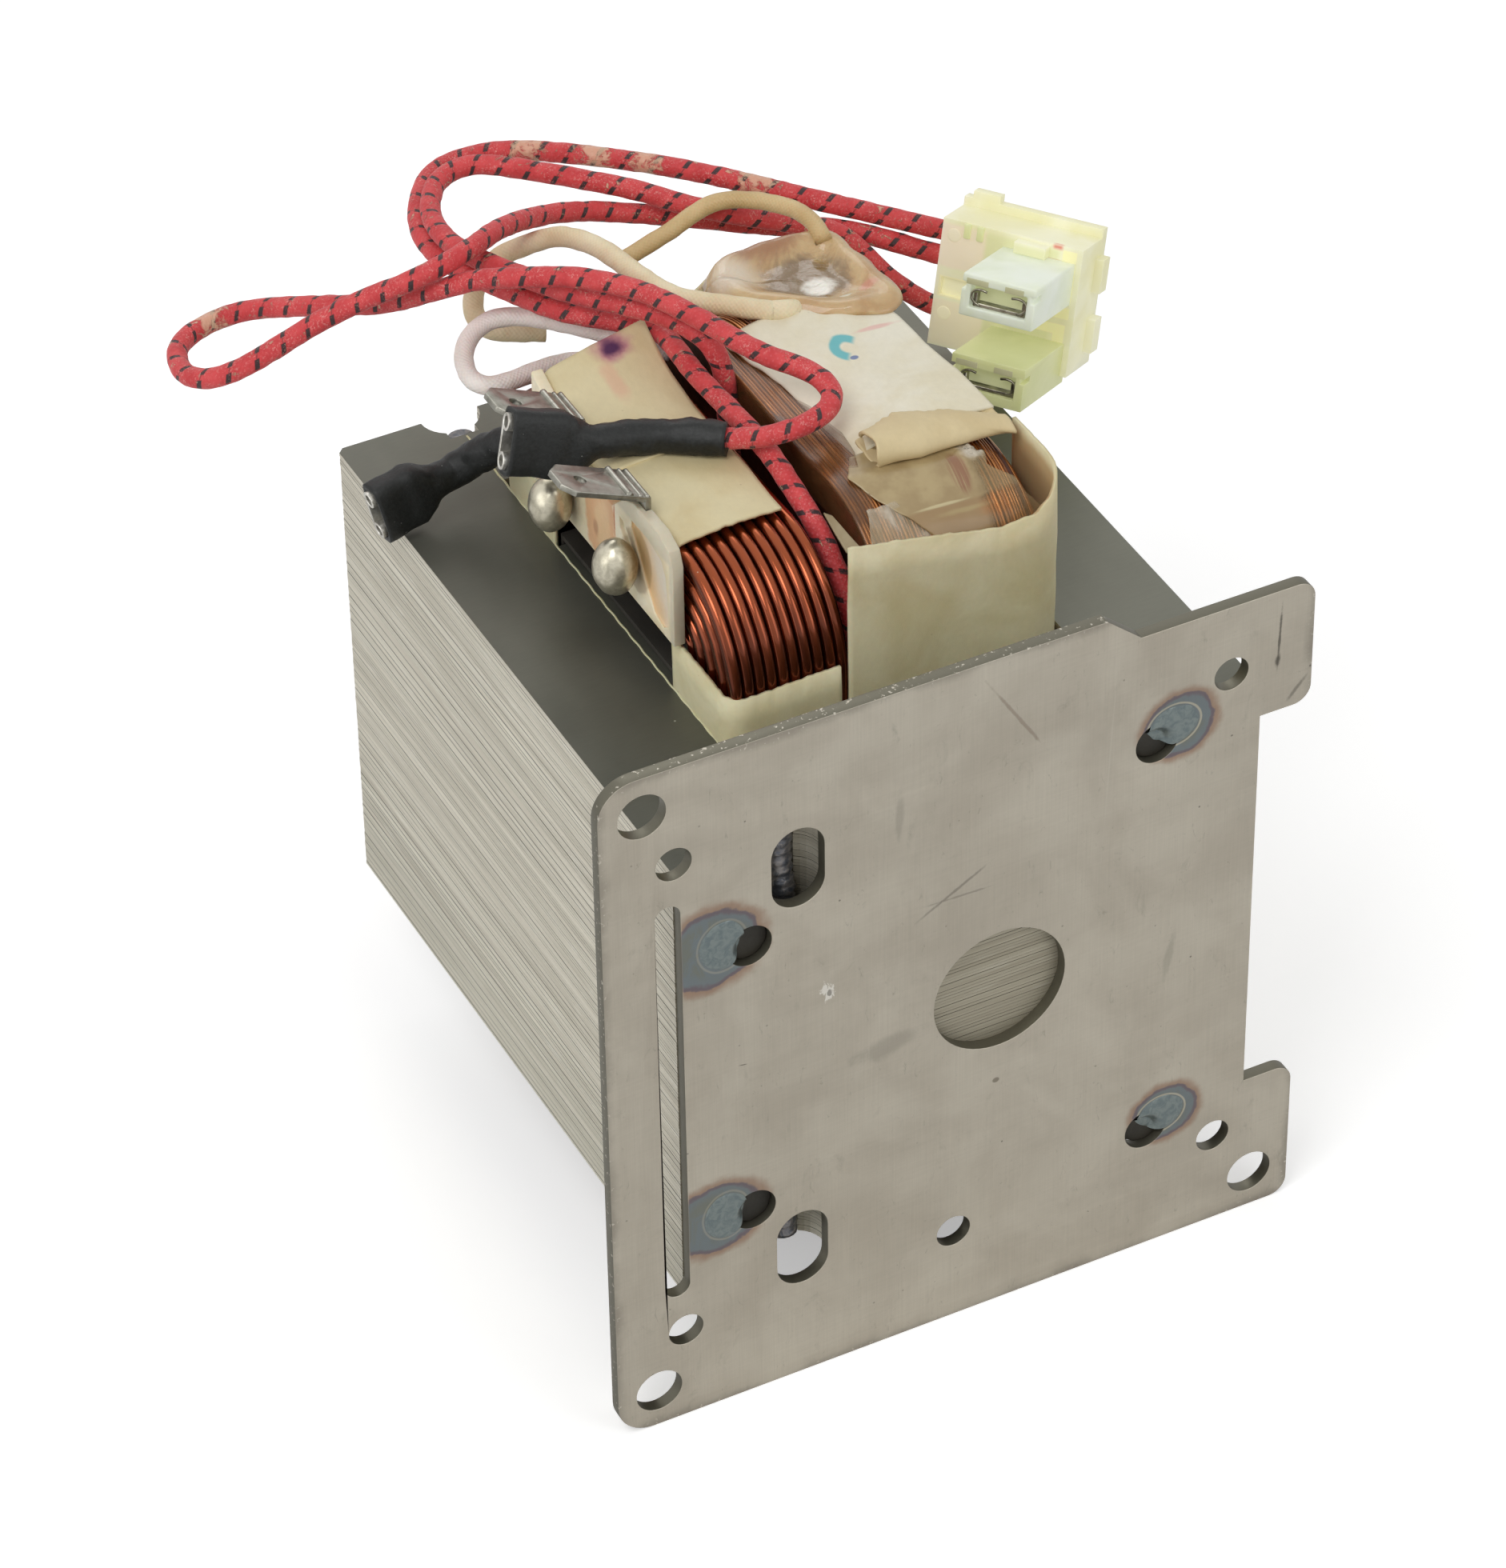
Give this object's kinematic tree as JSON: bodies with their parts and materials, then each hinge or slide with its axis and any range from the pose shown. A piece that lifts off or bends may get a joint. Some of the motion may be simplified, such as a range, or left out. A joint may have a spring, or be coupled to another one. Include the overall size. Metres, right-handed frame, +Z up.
{
  "type": "microwave transformer",
  "caption": "Shell type transformer with a mounting plate, primary and high voltage windings, spade terminals and loose leads.",
  "frame": {"origin": "middle of the bottom of the box round the transformer without its free leads", "axes": "+Z up along the lamination stack, +X along the mounting plate towards its notched side, +Y from the plate to the core; the plate faces -Y"},
  "size_m": [0.1174, 0.1221, 0.1219],
  "materials": {
    "plate_steel": "satin, mottled, with tempering colours round the welds",
    "core_steel": "satin laminations",
    "weld_metal": "oxidised weld bead",
    "thick_copper": "glossy brown enamel",
    "fine_copper": "glossy amber enamel under film",
    "red_braid": "impregnated braid with a black tracer",
    "insulating_paper": "matt",
    "brown_card": "matt",
    "clear_film": "glossy film",
    "varnished_paper": "glossy varnish",
    "terminal_card": "matt with a brown flux stain",
    "tinned_tab": "tinned",
    "solder": "satin",
    "white_lead": "matt braid",
    "cream_sleeve": "matt",
    "tan_sleeve": "matt",
    "black_sleeve": "satin",
    "tinned_contact": "tinned",
    "pale_nylon": "satin, translucent",
    "green_nylon": "satin, translucent"
  },
  "bodies": {
    "root": {"mounting_plate": "plate_steel", "e_core": "core_steel", "i_core": "core_steel", "joint_weld_front": "weld_metal", "joint_weld_rear": "weld_metal", "plate_weld_left_upper": "weld_metal", "plate_weld_left_lower": "weld_metal", "plate_weld_right_upper": "weld_metal", "plate_weld_right_lower": "weld_metal", "magnetic_shunt_front": "core_steel", "magnetic_shunt_rear": "core_steel", "primary_former": "insulating_paper", "primary_winding": "thick_copper", "secondary_former": "insulating_paper", "secondary_winding": "fine_copper", "filament_winding": "red_braid", "separator_front": "brown_card", "separator_rear": "brown_card", "primary_liner_front": "insulating_paper", "primary_liner_rear": "insulating_paper", "secondary_liner_front": "insulating_paper", "secondary_liner_rear": "insulating_paper", "primary_side_paper": "insulating_paper", "primary_paper_front": "insulating_paper", "primary_paper_rear": "insulating_paper", "terminal_board": "terminal_card", "terminal_tab_front": "tinned_tab", "terminal_tab_rear": "tinned_tab", "solder_ball_front": "solder", "solder_ball_rear": "solder", "secondary_cover_paper": "insulating_paper", "secondary_film_flap": "clear_film", "lead_wrap_varnished": "varnished_paper", "filament_lead_upper": "red_braid", "filament_lead_lower": "red_braid", "capacitor_lead": "red_braid", "white_lead": "white_lead", "cream_sleeve": "cream_sleeve", "tan_sleeve": "tan_sleeve", "black_sleeve_upper": "black_sleeve", "black_sleeve_lower": "black_sleeve", "receptacle_upper": "tinned_contact", "receptacle_lower": "tinned_contact", "connector_block": "pale_nylon", "housing_upper": "green_nylon", "housing_lower": "green_nylon", "housing_contact_upper": "tinned_contact", "housing_contact_lower": "tinned_contact"}
  },
  "joints": []
}
